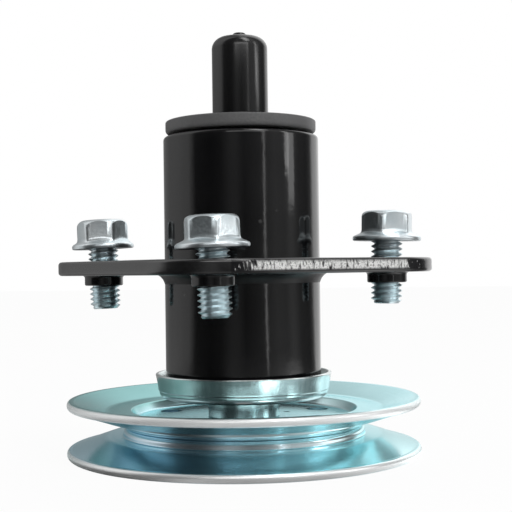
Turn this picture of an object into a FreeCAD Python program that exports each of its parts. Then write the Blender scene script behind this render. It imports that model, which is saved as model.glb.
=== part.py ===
"""Mower deck spindle: a shaft on two ball bearings in a flanged tube, with a pressed V-belt pulley.

The spindle stands on its pulley, blade end up. Sizes are in millimetres. The origin is on the spindle
axis in the plane of the pulley's lower rim, and +Z points along the axis towards the blade end.
"""
import os
from math import atan2, cos, radians, sin, sqrt, tan

import FreeCAD
import Part

V = FreeCAD.Vector
AXIS = V(0, 0, 1)
ORIGIN = V(0, 0, 0)

# Fits between pieces, as radial clearances
PRESS_FIT = 0.02
RUNNING_FIT = 0.05
SLIP_FIT = 0.1
AIR_GAP = 0.9
EDGE_BREAK = 0.4

# Pulley, two equal pressings back to back
PULLEY_OD = 109.2
PULLEY_SHEET = 2.6
RIM_HEIGHT = 8.65
RIM_LIP = 1.6
GROOVE_FLOOR_R = 37.5
GROOVE_SHELF = 5.3
FLOOR_BEND = 1.5
FLANK_BEND = 6.0
DISH_BEND = 1.1
RIM_BEND = 1.0
STEP_BEND = 0.6
RIM_EDGE = 1.2
WEB_HOLE_R = 3.5
WEB_HOLE_CIRCLE_R = 27.2
WEB_HOLE_COUNT = 3
WEB_HOLE_ANGLE = 40.0
PILOT_HOLE_R = 1.0
PILOT_HOLE_CIRCLE_R = 15.6
PILOT_HOLE_ANGLE = 40.0

# Hub sleeve and dust cup
HUB_R = 11.15
HUB_LENGTH = 8.05
HUB_CHAMFER = 1.0
CUP_SHEET = 1.2
CUP_GAP = 2.15
CUP_TAPER = 0.85
CUP_HEIGHT = 7.7
CUP_CORNER = 2.2
CUP_CREASE = 0.3
CUP_CREASE_HEIGHT = 2.4
CUP_SEAT_RISE = 2.1
CUP_SEAT_MARGIN = 0.9
CUP_SEAT_SLOPE = 2.0
CUP_SEAT_BEND = 0.6

# Ball bearings, 17 x 40 x 12
BEARING_BORE_R = 8.5
BEARING_OUTER_R = 20.0
BEARING_WIDTH = 12.0
BALL_R = 3.37
BALL_COUNT = 8
INNER_RACE_DEPTH = 1.4
OUTER_RACE_DEPTH = 1.0
RING_CHAMFER = 0.6
CAGE_WALL = 1.4
CAGE_MARGIN = 0.6
SEAL_THICKNESS = 0.8
SEAL_RECESS = 0.3

# Housing tube
TUBE_R = 24.15
TUBE_OVERLAP = 0.5
TUBE_EDGE = 1.2
TUBE_WALL = 6.15
SPACER_LENGTH = 53.1
SPACER_WALL = 2.5

# Mounting flange and its screws
FLANGE_THICKNESS = 4.3
FLANGE_DROP = 38.4
FLANGE_CORNER_R = 25.4
FLANGE_MARGIN = 13.6
FLANGE_EDGE = 1.0
BOLT_CIRCLE_R = 44.9
COLLAR_WALL = 1.75
COLLAR_HEIGHT = 3.2
WELD_PLATE_LEG = 2.3
WELD_TUBE_LEG = 2.9
WELD_SAG = 0.45
SCREW_R = 4.7625
SCREW_PITCH_R = 4.247
SCREW_END_R = 4.58
SCREW_LENGTH = 19.05
SCREW_TIP = 0.9
HEAD_FLATS = 14.29
HEAD_HEIGHT = 9.2
HEAD_ROUND = 2.6
HEAD_CORNER_TRIM = 0.15
WASHER_R = 10.4
WASHER_EDGE = 1.3
WASHER_RISE = 1.5
SCREW_PLACES = (
    {"angle": -90.0, "turn": -8.8, "stand_off": 2.9},
    {"angle": 0.0, "turn": 22.4, "stand_off": 5.2},
    {"angle": 90.0, "turn": 15.0, "stand_off": 3.6},
    {"angle": 180.0, "turn": 8.9, "stand_off": 4.2},
)

# Shaft, blade seat and thread cap
SEAT_DISC_R = 23.45
SEAT_DISC_THICKNESS = 3.8
SEAT_DISC_UNDER_EDGE = 1.2
SEAT_DISC_TOP_EDGE = 0.5
SHAFT_BOSS_STEP = 0.23
PILOT_R = 9.525
PILOT_HEIGHT = 2.0
THREAD_R = 7.15
BLADE_THREAD_LENGTH = 22.7
THREAD_CHAMFER = 1.0
DRIVE_R = 8.0
DRIVE_FLATS = 14.5
DRIVE_LAP = 0.2
BEARING_LAP = 0.3
CAP_WALL = 1.45
CAP_HEADROOM = 0.7
CAP_CORNER = 3.7
CAP_CROWN = 0.7
NUB_R = 2.25
NUB_TAPER = 0.25
NUB_HEIGHT = 1.1
NUB_ROUND = 0.8

# Pulley nut
NUT_FLATS = 22.2
NUT_HEIGHT = 5.0
NUT_CHAMFER = 1.0
SHAFT_PROUD = 0.5

# Levels up the spindle, each standing on the one below
mid_z = RIM_HEIGHT
web_top_z = mid_z + PULLEY_SHEET
web_bottom_z = mid_z - PULLEY_SHEET
hub_top_z = web_top_z + HUB_LENGTH
cup_bottom_z = hub_top_z - CUP_SEAT_RISE
lower_bearing_z = hub_top_z + CUP_SHEET
spacer_z = lower_bearing_z + BEARING_WIDTH
upper_bearing_z = spacer_z + SPACER_LENGTH
boss_z = upper_bearing_z + BEARING_WIDTH
tube_bottom_z = lower_bearing_z - TUBE_OVERLAP
tube_top_z = boss_z + TUBE_OVERLAP
disc_z = tube_top_z + AIR_GAP
disc_top_z = disc_z + SEAT_DISC_THICKNESS
pilot_top_z = disc_top_z + PILOT_HEIGHT
thread_end_z = pilot_top_z + BLADE_THREAD_LENGTH
flange_top_z = tube_top_z - FLANGE_DROP
flange_bottom_z = flange_top_z - FLANGE_THICKNESS
nut_bottom_z = web_bottom_z - NUT_HEIGHT
shaft_end_z = nut_bottom_z - SHAFT_PROUD

# Radii that follow from the bearings
ball_circle_r = (BEARING_BORE_R + BEARING_OUTER_R) / 2
race_r = BALL_R + RUNNING_FIT
inner_shoulder_r = ball_circle_r - race_r + INNER_RACE_DEPTH
outer_shoulder_r = ball_circle_r + race_r - OUTER_RACE_DEPTH
seat_r = BEARING_OUTER_R + PRESS_FIT
shaft_r = BEARING_BORE_R - PRESS_FIT
boss_r = inner_shoulder_r - SHAFT_BOSS_STEP


def rounded_wire(corners):
    """Closed outline through (r, z, rounding) corners in the XZ plane."""
    edges = []
    points = [V(r, 0, z) for r, z, _ in corners]
    joins = []
    for i, (_, _, rounding) in enumerate(corners):
        here = points[i]
        back = (points[i - 1] - here).normalize()
        ahead = (points[(i + 1) % len(points)] - here).normalize()
        if rounding == 0:
            joins.append((here, here))
            continue
        half = back.getAngle(ahead) / 2
        start = here + back * (rounding / tan(half))
        end = here + ahead * (rounding / tan(half))
        middle = here + (back + ahead).normalize() * (rounding / sin(half) - rounding)
        edges.append((i, Part.Arc(start, middle, end).toShape()))
        joins.append((start, end))
    arcs = dict(edges)
    ordered = []
    for i in range(len(corners)):
        if i in arcs:
            ordered.append(arcs[i])
        ordered.append(Part.makeLine(joins[i][1], joins[(i + 1) % len(corners)][0]))
    return Part.Wire(ordered)


def turned(corners):
    """Solid of revolution about the spindle axis."""
    return Part.Face(rounded_wire(corners)).revolve(ORIGIN, AXIS, 360)


def cylinder(radius, bottom_z, top_z, x=0.0, y=0.0):
    return Part.makeCylinder(radius, top_z - bottom_z, V(x, y, bottom_z))


def on_circle(radius, angle):
    return radius * cos(radians(angle)), radius * sin(radians(angle))


def hex_prism(flats, bottom_z, top_z):
    """Hexagonal bar with a corner on +X."""
    corner_r = flats / sqrt(3)
    points = [V(*on_circle(corner_r, 60 * i), bottom_z) for i in range(7)]
    return Part.Face(Part.makePolygon(points)).extrude(AXIS * (top_z - bottom_z))


def double_d(radius, flats, bottom_z, top_z):
    """Round bar with two flats that face along Y."""
    slab = Part.makeBox(4 * radius, flats, top_z - bottom_z, V(-2 * radius, -flats / 2, bottom_z))
    return cylinder(radius, bottom_z, top_z).common(slab)


def make_housing_tube():
    upper_shoulder_z = upper_bearing_z
    lower_shoulder_z = lower_bearing_z + BEARING_WIDTH
    bore_r = TUBE_R - TUBE_WALL
    return turned([
        (seat_r, tube_bottom_z, 0),
        (TUBE_R, tube_bottom_z, TUBE_EDGE),
        (TUBE_R, tube_top_z, TUBE_EDGE),
        (seat_r, tube_top_z, 0),
        (seat_r, upper_shoulder_z, 0),
        (bore_r, upper_shoulder_z, 0),
        (bore_r, lower_shoulder_z, 0),
        (seat_r, lower_shoulder_z, 0),
    ])


def make_mounting_flange():
    edges = []
    last = None
    first = None
    for angle in (0, 90, 180, 270):
        x, y = on_circle(BOLT_CIRCLE_R + FLANGE_MARGIN - FLANGE_CORNER_R, angle)
        start, middle, end = [
            V(x, y, flange_bottom_z) + V(*on_circle(FLANGE_CORNER_R, angle + turn), 0)
            for turn in (-45, 0, 45)
        ]
        if last is not None:
            edges.append(Part.makeLine(last, start))
        else:
            first = start
        edges.append(Part.Arc(start, middle, end).toShape())
        last = end
    edges.append(Part.makeLine(last, first))
    plate = Part.Face(Part.Wire(edges)).extrude(AXIS * FLANGE_THICKNESS)
    rim = [e for e in plate.Edges if abs(e.tangentAt(e.FirstParameter).z) < 0.5]
    plate = plate.makeFillet(FLANGE_EDGE, rim)
    hole_r = SCREW_PITCH_R + RUNNING_FIT
    for angle in (0, 90, 180, 270):
        x, y = on_circle(BOLT_CIRCLE_R, angle)
        plate = plate.fuse(cylinder(hole_r + COLLAR_WALL, flange_bottom_z - COLLAR_HEIGHT, flange_top_z, x, y))
    for angle in (0, 90, 180, 270):
        x, y = on_circle(BOLT_CIRCLE_R, angle)
        plate = plate.cut(cylinder(hole_r, flange_bottom_z - COLLAR_HEIGHT, flange_top_z, x, y))
    plate = plate.cut(cylinder(TUBE_R + RUNNING_FIT, flange_bottom_z, flange_top_z))
    return plate.removeSplitter()


def make_flange_weld():
    """Fillet weld whose face sags towards the corner between the tube and the plate."""
    corner = V(TUBE_R + RUNNING_FIT, 0, flange_bottom_z)
    tube_toe = corner - V(0, 0, WELD_TUBE_LEG)
    plate_toe = corner + V(WELD_PLATE_LEG, 0, 0)
    middle = (tube_toe + plate_toe) / 2
    sagged = middle + (corner - middle).normalize() * WELD_SAG
    face = Part.Arc(tube_toe, sagged, plate_toe).toShape()
    top = Part.makeLine(plate_toe, corner)
    back = Part.makeLine(corner, tube_toe)
    return Part.Face(Part.Wire([face, top, back])).revolve(ORIGIN, AXIS, 360)


def make_screw(stand_off):
    """Hex flange screw standing on Z = 0 at the flange's upper face, head up."""
    under_head = stand_off
    collar_end = -FLANGE_THICKNESS - COLLAR_HEIGHT
    tip = stand_off - SCREW_LENGTH
    top = under_head + HEAD_HEIGHT
    corner_r = HEAD_FLATS / sqrt(3) - HEAD_CORNER_TRIM
    shank = turned([
        (0, tip, 0),
        (SCREW_END_R - SCREW_TIP, tip, 0),
        (SCREW_END_R, tip + SCREW_TIP, 0),
        (SCREW_END_R, collar_end, 0),
        (SCREW_PITCH_R, collar_end, 0),
        (SCREW_PITCH_R, 0, 0),
        (SCREW_R, 0, 0),
        (SCREW_R, under_head, 0),
        (WASHER_R, under_head, EDGE_BREAK),
        (WASHER_R, under_head + WASHER_EDGE, EDGE_BREAK),
        (HEAD_FLATS / 2, under_head + WASHER_EDGE + WASHER_RISE, 0),
        (0, under_head + WASHER_EDGE + WASHER_RISE, 0),
    ])
    crown = turned([
        (0, under_head, 0),
        (corner_r, under_head, 0),
        (corner_r, top, HEAD_ROUND),
        (0, top, 0),
    ])
    return shank.fuse(hex_prism(HEAD_FLATS, under_head, top).common(crown)).removeSplitter()


def make_flange_screws():
    screws = []
    for place in SCREW_PLACES:
        screw = make_screw(place["stand_off"])
        screw.rotate(ORIGIN, AXIS, place["turn"])
        screw.translate(V(*on_circle(BOLT_CIRCLE_R, place["angle"]), flange_top_z))
        screws.append(screw)
    return Part.makeCompound(screws)


def make_outer_ring(bottom_z):
    middle_z = bottom_z + BEARING_WIDTH / 2
    top_z = bottom_z + BEARING_WIDTH
    ring = turned([
        (outer_shoulder_r, bottom_z, 0),
        (BEARING_OUTER_R, bottom_z, RING_CHAMFER),
        (BEARING_OUTER_R, top_z, RING_CHAMFER),
        (outer_shoulder_r, top_z, 0),
    ])
    return ring.cut(Part.makeTorus(ball_circle_r, race_r, V(0, 0, middle_z)))


def make_inner_ring(bottom_z):
    middle_z = bottom_z + BEARING_WIDTH / 2
    top_z = bottom_z + BEARING_WIDTH
    ring = turned([
        (BEARING_BORE_R, bottom_z, RING_CHAMFER),
        (inner_shoulder_r, bottom_z, 0),
        (inner_shoulder_r, top_z, 0),
        (BEARING_BORE_R, top_z, RING_CHAMFER),
    ])
    return ring.cut(Part.makeTorus(ball_circle_r, race_r, V(0, 0, middle_z)))


def make_balls(bottom_z):
    middle_z = bottom_z + BEARING_WIDTH / 2
    places = [on_circle(ball_circle_r, 360 * i / BALL_COUNT) for i in range(BALL_COUNT)]
    return Part.makeCompound([Part.makeSphere(BALL_R, V(x, y, middle_z)) for x, y in places])


def make_cage(bottom_z):
    middle_z = bottom_z + BEARING_WIDTH / 2
    pocket_r = BALL_R + SLIP_FIT
    half_height = pocket_r + CAGE_MARGIN
    cage = turned([
        (ball_circle_r - CAGE_WALL / 2, middle_z - half_height, 0),
        (ball_circle_r + CAGE_WALL / 2, middle_z - half_height, 0),
        (ball_circle_r + CAGE_WALL / 2, middle_z + half_height, 0),
        (ball_circle_r - CAGE_WALL / 2, middle_z + half_height, 0),
    ])
    for i in range(BALL_COUNT):
        x, y = on_circle(1, 360 * i / BALL_COUNT)
        cage = cage.cut(Part.makeCylinder(pocket_r, BEARING_OUTER_R, V(0, 0, middle_z), V(x, y, 0)))
    return cage


def make_seal(bottom_z):
    top_z = bottom_z + SEAL_THICKNESS
    return turned([
        (inner_shoulder_r + SLIP_FIT, bottom_z, 0),
        (outer_shoulder_r - PRESS_FIT, bottom_z, 0),
        (outer_shoulder_r - PRESS_FIT, top_z, 0),
        (inner_shoulder_r + SLIP_FIT, top_z, 0),
    ])


def make_inner_spacer():
    bore_r = shaft_r + SLIP_FIT
    return turned([
        (bore_r, spacer_z, 0),
        (bore_r + SPACER_WALL, spacer_z, 0),
        (bore_r + SPACER_WALL, upper_bearing_z, 0),
        (bore_r, upper_bearing_z, 0),
    ])


def make_spindle_shaft():
    drive_z = web_bottom_z + DRIVE_LAP
    drive_top_z = web_top_z + DRIVE_LAP
    journal_z = lower_bearing_z + BEARING_LAP
    bar = turned([
        (0, drive_top_z, 0),
        (DRIVE_R, drive_top_z, 0),
        (DRIVE_R, journal_z, 0),
        (shaft_r, journal_z, 0),
        (shaft_r, boss_z, 0),
        (boss_r, boss_z, 0),
        (boss_r, disc_z, 0),
        (SEAT_DISC_R, disc_z, SEAT_DISC_UNDER_EDGE),
        (SEAT_DISC_R, disc_top_z, SEAT_DISC_TOP_EDGE),
        (PILOT_R, disc_top_z, 0),
        (PILOT_R, pilot_top_z, 0),
        (THREAD_R, pilot_top_z, 0),
        (THREAD_R, thread_end_z - THREAD_CHAMFER, 0),
        (THREAD_R - THREAD_CHAMFER, thread_end_z, 0),
        (0, thread_end_z, 0),
    ])
    pulley_thread = turned([
        (0, shaft_end_z, 0),
        (THREAD_R - THREAD_CHAMFER, shaft_end_z, 0),
        (THREAD_R, shaft_end_z + THREAD_CHAMFER, 0),
        (THREAD_R, drive_z, 0),
        (0, drive_z, 0),
    ])
    drive = double_d(DRIVE_R, DRIVE_FLATS, drive_z, drive_top_z)
    return bar.fuse([drive, pulley_thread]).removeSplitter()


def make_thread_cap():
    bore_r = THREAD_R + SLIP_FIT
    wall_r = bore_r + CAP_WALL
    roof_z = thread_end_z + CAP_HEADROOM
    shoulder_z = roof_z + CAP_WALL - CAP_CROWN
    dome_z = roof_z + CAP_WALL
    return turned([
        (bore_r, pilot_top_z, 0),
        (wall_r, pilot_top_z, EDGE_BREAK),
        (wall_r, shoulder_z, CAP_CORNER),
        (NUB_R, dome_z, EDGE_BREAK),
        (NUB_R - NUB_TAPER, dome_z + NUB_HEIGHT, NUB_ROUND),
        (0, dome_z + NUB_HEIGHT, 0),
        (0, roof_z, 0),
        (bore_r, roof_z, CAP_CORNER - CAP_WALL),
    ])


def make_dust_cup():
    bore_r = DRIVE_R + RUNNING_FIT
    seat_edge_r = HUB_R + CUP_SEAT_MARGIN
    foot_r = seat_edge_r + CUP_SEAT_SLOPE
    lip_r = TUBE_R + CUP_GAP + CUP_SHEET
    wall_r = lip_r - CUP_TAPER
    foot_wall_r = wall_r - CUP_CREASE
    lip_z = cup_bottom_z + CUP_HEIGHT
    lip_round = CUP_SHEET / 3
    return turned([
        (bore_r, hub_top_z, 0),
        (seat_edge_r, hub_top_z, CUP_SEAT_BEND),
        (foot_r, cup_bottom_z, CUP_SEAT_BEND),
        (foot_wall_r, cup_bottom_z, CUP_CORNER),
        (foot_wall_r, cup_bottom_z + CUP_CREASE_HEIGHT, 0),
        (wall_r, cup_bottom_z + CUP_CREASE_HEIGHT + CUP_CREASE, 0),
        (lip_r, lip_z, lip_round),
        (lip_r - CUP_SHEET, lip_z, lip_round),
        (foot_wall_r - CUP_SHEET, cup_bottom_z + CUP_SHEET, CUP_CORNER - CUP_SHEET),
        (foot_r + CUP_SHEET / 2, cup_bottom_z + CUP_SHEET, CUP_SEAT_BEND),
        (seat_edge_r + CUP_SHEET / 2, lower_bearing_z, CUP_SEAT_BEND),
        (bore_r, lower_bearing_z, 0),
    ])


def make_pulley_hub():
    bore_r = DRIVE_R + RUNNING_FIT
    return turned([
        (bore_r, web_top_z, 0),
        (HUB_R, web_top_z, 0),
        (HUB_R, hub_top_z - HUB_CHAMFER, 0),
        (HUB_R - HUB_CHAMFER, hub_top_z, 0),
        (bore_r, hub_top_z, 0),
    ])


def make_pulley_half():
    """Upper pressing, with its web lying on the pulley's middle plane."""
    rim_r = PULLEY_OD / 2
    lip_r = rim_r - RIM_LIP
    shelf_r = GROOVE_FLOOR_R + GROOVE_SHELF
    top_z = mid_z + RIM_HEIGHT
    under_lip_z = top_z - PULLEY_SHEET
    shelf_top_z = web_top_z + PULLEY_SHEET
    flank_angle = atan2(under_lip_z - web_top_z, lip_r - shelf_r)
    bend_shift = PULLEY_SHEET * tan(flank_angle / 2)
    step_r = GROOVE_FLOOR_R - PULLEY_SHEET
    step_foot_r = step_r - PULLEY_SHEET / 2
    half = turned([
        (DRIVE_R / 2, mid_z, 0),
        (GROOVE_FLOOR_R, mid_z, FLOOR_BEND),
        (GROOVE_FLOOR_R, web_top_z, EDGE_BREAK),
        (shelf_r, web_top_z, FLANK_BEND),
        (lip_r, under_lip_z, RIM_BEND),
        (rim_r, under_lip_z, RIM_EDGE),
        (rim_r, top_z, RIM_EDGE),
        (lip_r - bend_shift, top_z, RIM_BEND),
        (shelf_r - bend_shift, shelf_top_z, FLANK_BEND),
        (step_r, shelf_top_z, STEP_BEND),
        (step_foot_r, web_top_z, DISH_BEND),
        (DRIVE_R / 2, web_top_z, 0),
    ])
    half = half.cut(double_d(DRIVE_R + RUNNING_FIT, DRIVE_FLATS + 2 * RUNNING_FIT, mid_z, web_top_z))
    for i in range(WEB_HOLE_COUNT):
        x, y = on_circle(WEB_HOLE_CIRCLE_R, WEB_HOLE_ANGLE + 360 * i / WEB_HOLE_COUNT)
        half = half.cut(cylinder(WEB_HOLE_R, mid_z, web_top_z, x, y))
    x, y = on_circle(PILOT_HOLE_CIRCLE_R, PILOT_HOLE_ANGLE)
    return half.cut(cylinder(PILOT_HOLE_R, mid_z, web_top_z, x, y))


def make_pulley_nut():
    corner_r = NUT_FLATS / sqrt(3)
    crown = turned([
        (0, nut_bottom_z, 0),
        (NUT_FLATS / 2, nut_bottom_z, 0),
        (corner_r, nut_bottom_z + NUT_CHAMFER, 0),
        (corner_r, web_bottom_z - NUT_CHAMFER, 0),
        (NUT_FLATS / 2, web_bottom_z, 0),
        (0, web_bottom_z, 0),
    ])
    nut = hex_prism(NUT_FLATS, nut_bottom_z, web_bottom_z).common(crown)
    return nut.cut(cylinder(THREAD_R + RUNNING_FIT, nut_bottom_z, web_bottom_z))


upper_half = make_pulley_half()
pieces = {
    "housing_tube": make_housing_tube(),
    "mounting_flange": make_mounting_flange(),
    "flange_weld": make_flange_weld(),
    "flange_screws": make_flange_screws(),
    "spindle_shaft": make_spindle_shaft(),
    "thread_cap": make_thread_cap(),
    "dust_cup": make_dust_cup(),
    "pulley_hub": make_pulley_hub(),
    "pulley_upper_half": upper_half,
    "pulley_lower_half": upper_half.mirror(V(0, 0, mid_z), AXIS),
    "pulley_nut": make_pulley_nut(),
    "inner_spacer": make_inner_spacer(),
}
for name, level in (("lower", lower_bearing_z), ("upper", upper_bearing_z)):
    pieces[name + "_outer_ring"] = make_outer_ring(level)
    pieces[name + "_inner_ring"] = make_inner_ring(level)
    pieces[name + "_balls"] = make_balls(level)
    pieces[name + "_cage"] = make_cage(level)
    pieces[name + "_bottom_seal"] = make_seal(level + SEAL_RECESS)
    pieces[name + "_top_seal"] = make_seal(level + BEARING_WIDTH - SEAL_RECESS - SEAL_THICKNESS)

os.makedirs("parts", exist_ok=True)
for name, shape in pieces.items():
    shape.exportStep("parts/" + name + ".step")
    box = shape.BoundBox
    print(name, shape.isValid(), len(shape.Solids), round(shape.Volume, 1),
          round(box.ZMin, 2), round(box.ZMax, 2), round(box.XMax, 2))
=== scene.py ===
# %% [markdown]
# # A mower deck spindle, dressed in Blender
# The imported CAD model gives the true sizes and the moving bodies. This lesson rebuilds each piece
# that shows as a smooth mesh of its own, gives every surface a worked finish, and sets up the
# studio. The spindle stands on its pulley with the blade end up.

# %% Load the frame
import math
import random

import bmesh
import bpy
from mathutils import Matrix, Vector


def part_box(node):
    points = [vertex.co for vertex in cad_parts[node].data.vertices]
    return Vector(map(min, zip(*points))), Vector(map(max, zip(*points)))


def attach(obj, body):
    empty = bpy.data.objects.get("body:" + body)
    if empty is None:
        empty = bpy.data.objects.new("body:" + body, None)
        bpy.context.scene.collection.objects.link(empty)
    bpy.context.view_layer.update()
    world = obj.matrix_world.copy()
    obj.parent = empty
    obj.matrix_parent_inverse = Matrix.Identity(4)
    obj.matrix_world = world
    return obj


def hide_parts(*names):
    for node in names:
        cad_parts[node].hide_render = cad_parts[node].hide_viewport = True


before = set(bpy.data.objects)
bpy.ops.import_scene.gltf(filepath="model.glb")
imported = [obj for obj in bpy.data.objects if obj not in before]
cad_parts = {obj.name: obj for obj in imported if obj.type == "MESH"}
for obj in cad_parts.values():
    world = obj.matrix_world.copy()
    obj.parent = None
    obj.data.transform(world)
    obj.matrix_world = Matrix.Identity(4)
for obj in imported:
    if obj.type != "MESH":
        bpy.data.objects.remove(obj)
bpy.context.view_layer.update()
MM = 0.001


def extent(node):
    """Lowest and highest level of a CAD node and its reach along X, in millimetres."""
    low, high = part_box(node)
    return low.z / MM, high.z / MM, high.x / MM


# %% [markdown]
# ## Camera
# The tube's sides, the screws and the rims' ellipses fix the view: a long lens about 350 mm from
# the axis, level with the tube's lower half and a little right of the front screw. The picture
# hangs slightly turned, so the camera rolls by the same small angle.

# %% Camera at the photograph's angle
# Picture and focal length in pixels, sensor in millimetres, place in metres.
PICTURE = 512
FOCAL = 1120
SENSOR = 36
DISTANCE = 0.350
EYE_HEIGHT = 0.0565
AZIMUTH = math.radians(10.2)
AIM_RIGHT = math.atan(13.8 / FOCAL)
AIM_UP = math.atan(14.0 / FOCAL)
ROLL = math.radians(0.76)

lens = bpy.data.cameras.new("studio_camera")
lens.sensor_width = SENSOR
lens.lens = SENSOR * FOCAL / PICTURE
lens.clip_start = 0.01
camera = bpy.data.objects.new("studio_camera", lens)
bpy.context.scene.collection.objects.link(camera)
stand = Vector((DISTANCE * math.sin(AZIMUTH), -DISTANCE * math.cos(AZIMUTH), EYE_HEIGHT))
aim = Matrix.Rotation(AZIMUTH - AIM_RIGHT, 4, "Z") @ Matrix.Rotation(math.pi / 2 + AIM_UP, 4, "X")
camera.matrix_world = Matrix.Translation(stand) @ aim @ Matrix.Rotation(-ROLL, 4, "Z")
bpy.context.scene.camera = camera
print("camera at", tuple(round(c, 4) for c in stand), "lens", round(lens.lens, 2))

# %% [markdown]
# ## Small helpers for node trees
# Every finish below is a node tree. One helper adds a node and links or sets its inputs, and two
# more stand for the commonest nodes, so that each material reads as a short list of steps.


# %% Node helpers
def add_node(tree, kind, inputs=None, **settings):
    """Adds a node; each input is a value to set or a socket to link."""
    made = tree.nodes.new(kind)
    for name, value in settings.items():
        setattr(made, name, value)
    for name, value in (inputs or {}).items():
        if isinstance(value, bpy.types.NodeSocket):
            tree.links.new(value, made.inputs[name])
        else:
            made.inputs[name].default_value = value
    return made


def calculate(tree, operation, one, other, **settings):
    """Result of one step of arithmetic."""
    made = add_node(tree, "ShaderNodeMath", {0: one, 1: other}, operation=operation, **settings)
    return made.outputs["Value"]


def ramp(tree, value, start, end, **settings):
    """Mask that goes from 0 to 1 while a value goes from start to end."""
    made = add_node(
        tree, "ShaderNodeMapRange", {"Value": value, "From Min": start, "From Max": end}, **settings)
    return made.outputs["Result"]


def new_group(name, inputs, outputs):
    """An empty shader group with float, vector or colour sockets."""
    tree = bpy.data.node_groups.new(name, "ShaderNodeTree")
    for label, kind, value in inputs:
        socket = tree.interface.new_socket(label, in_out="INPUT", socket_type="NodeSocket" + kind)
        if value is not None:
            socket.default_value = value
    for label, kind in outputs:
        tree.interface.new_socket(label, in_out="OUTPUT", socket_type="NodeSocket" + kind)
    return tree, tree.nodes.new("NodeGroupInput").outputs, tree.nodes.new("NodeGroupOutput").inputs


def new_finish(name, **uniform):
    """A material, its tree, its Principled shader and its Object coordinates."""
    material = bpy.data.materials.new(name)
    material.use_nodes = True
    tree = material.node_tree
    shader = tree.nodes["Principled BSDF"]
    for label, value in uniform.items():
        shader.inputs[label.replace("_", " ").title().replace("Ior", "IOR")].default_value = value
    return material, tree, shader, add_node(tree, "ShaderNodeTexCoord").outputs["Object"]


print("node helpers ready")

# %% [markdown]
# ## Shared effects
# Three effects serve several finishes. Mottle is a soft cloud that varies colour and gloss, as
# plating and paint do. Turned marks are fine rings round the axis, left by spinning and pressing.
# Specks are the few dust grains and pits that every real surface has.

# %% Mottle
mottle, given, result = new_group(
    "mottle",
    [("Vector", "Vector", None), ("Scale", "Float", 40.0), ("Low", "Float", 0.35), ("High", "Float", 0.65)],
    [("Mask", "Float")],
)
cloud = add_node(mottle, "ShaderNodeTexNoise", {
    "Vector": given["Vector"], "Scale": given["Scale"], "Detail": 5.0})
mottle.links.new(ramp(mottle, cloud.outputs["Fac"], given["Low"], given["High"]), result["Mask"])
print("group", mottle.name)

# %% Turned marks
turned_marks, given, result = new_group(
    "turned_marks",
    [("Vector", "Vector", None), ("Rings", "Float", 900.0), ("Sweep", "Float", 6.0)],
    [("Height", "Float"), ("Radius", "Float")],
)
parts = add_node(turned_marks, "ShaderNodeSeparateXYZ", {"Vector": given["Vector"]}).outputs
flat = add_node(turned_marks, "ShaderNodeCombineXYZ", {"X": parts["X"], "Y": parts["Y"]})
radius = add_node(turned_marks, "ShaderNodeVectorMath", {0: flat.outputs["Vector"]}, operation="LENGTH")
rings = calculate(turned_marks, "MULTIPLY", radius.outputs["Value"], given["Rings"])
levels = calculate(turned_marks, "MULTIPLY", parts["Z"], given["Rings"])
bearing = calculate(turned_marks, "ARCTAN2", parts["Y"], parts["X"])
sweep = calculate(turned_marks, "MULTIPLY", bearing, given["Sweep"])
lathe_space = add_node(turned_marks, "ShaderNodeCombineXYZ", {"X": rings, "Y": levels, "Z": sweep})
marks = add_node(turned_marks, "ShaderNodeTexNoise", {
    "Vector": lathe_space.outputs["Vector"], "Scale": 1.0, "Detail": 3.0})
turned_marks.links.new(marks.outputs["Fac"], result["Height"])
turned_marks.links.new(radius.outputs["Value"], result["Radius"])
print("group", turned_marks.name)

# %% Specks
SPECK_EDGE, SPECK_CORE = 0.30, 0.15

specks, given, result = new_group(
    "specks",
    [("Vector", "Vector", None), ("Scale", "Float", 700.0), ("Amount", "Float", 0.12)],
    [("Mask", "Float")],
)
cells = add_node(specks, "ShaderNodeTexVoronoi", {"Vector": given["Vector"], "Scale": given["Scale"]})
lot = add_node(specks, "ShaderNodeSeparateColor", {"Color": cells.outputs["Color"]})
chosen = calculate(specks, "LESS_THAN", lot.outputs["Red"], given["Amount"])
dot = ramp(specks, cells.outputs["Distance"], SPECK_EDGE, SPECK_CORE)
specks.links.new(calculate(specks, "MULTIPLY", chosen, dot), result["Mask"])
print("group", specks.name)

# %% [markdown]
# ## Gloss black paint
# The tube, the flange and the weld carry one coat of stove enamel. It is nearly mirror smooth, with
# a faint orange-peel ripple and a little dust, so its look is mostly what it reflects.


# %% Using a group in a material
def use_group(tree, group, vector, **values):
    """Places a shared effect in a material, with its own values."""
    made = add_node(tree, "ShaderNodeGroup", {}, node_tree=group)
    tree.links.new(vector, made.inputs["Vector"])
    for label, value in values.items():
        made.inputs[label].default_value = value
    return made


def blend_colour(tree, mask, low, high):
    """Colour that goes from low to high with a mask."""
    made = add_node(tree, "ShaderNodeMix", {"Factor": mask}, data_type="RGBA")
    for socket, value in zip(made.inputs[6:8], (low, high)):
        if isinstance(value, bpy.types.NodeSocket):
            tree.links.new(value, socket)
        else:
            socket.default_value = (*value, 1)
    return made.outputs[2]


def blend_value(tree, mask, low, high):
    """Value that goes from low to high with a mask."""
    made = add_node(tree, "ShaderNodeMapRange", {"Value": mask, "To Min": low, "To Max": high})
    return made.outputs["Result"]


def set_finish(tree, shader, colour, mask, smooth, rough):
    """Gives a shader its colour, and a roughness that follows a mask."""
    tree.links.new(colour, shader.inputs["Base Color"])
    tree.links.new(blend_value(tree, mask, smooth, rough), shader.inputs["Roughness"])


def bump(tree, shader, height, strength, depth):
    """Roughens a shader's surface by a height, with a depth in metres."""
    made = add_node(tree, "ShaderNodeBump", {"Height": height, "Strength": strength, "Distance": depth})
    tree.links.new(made.outputs["Normal"], shader.inputs["Normal"])


print("material helpers ready")

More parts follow.
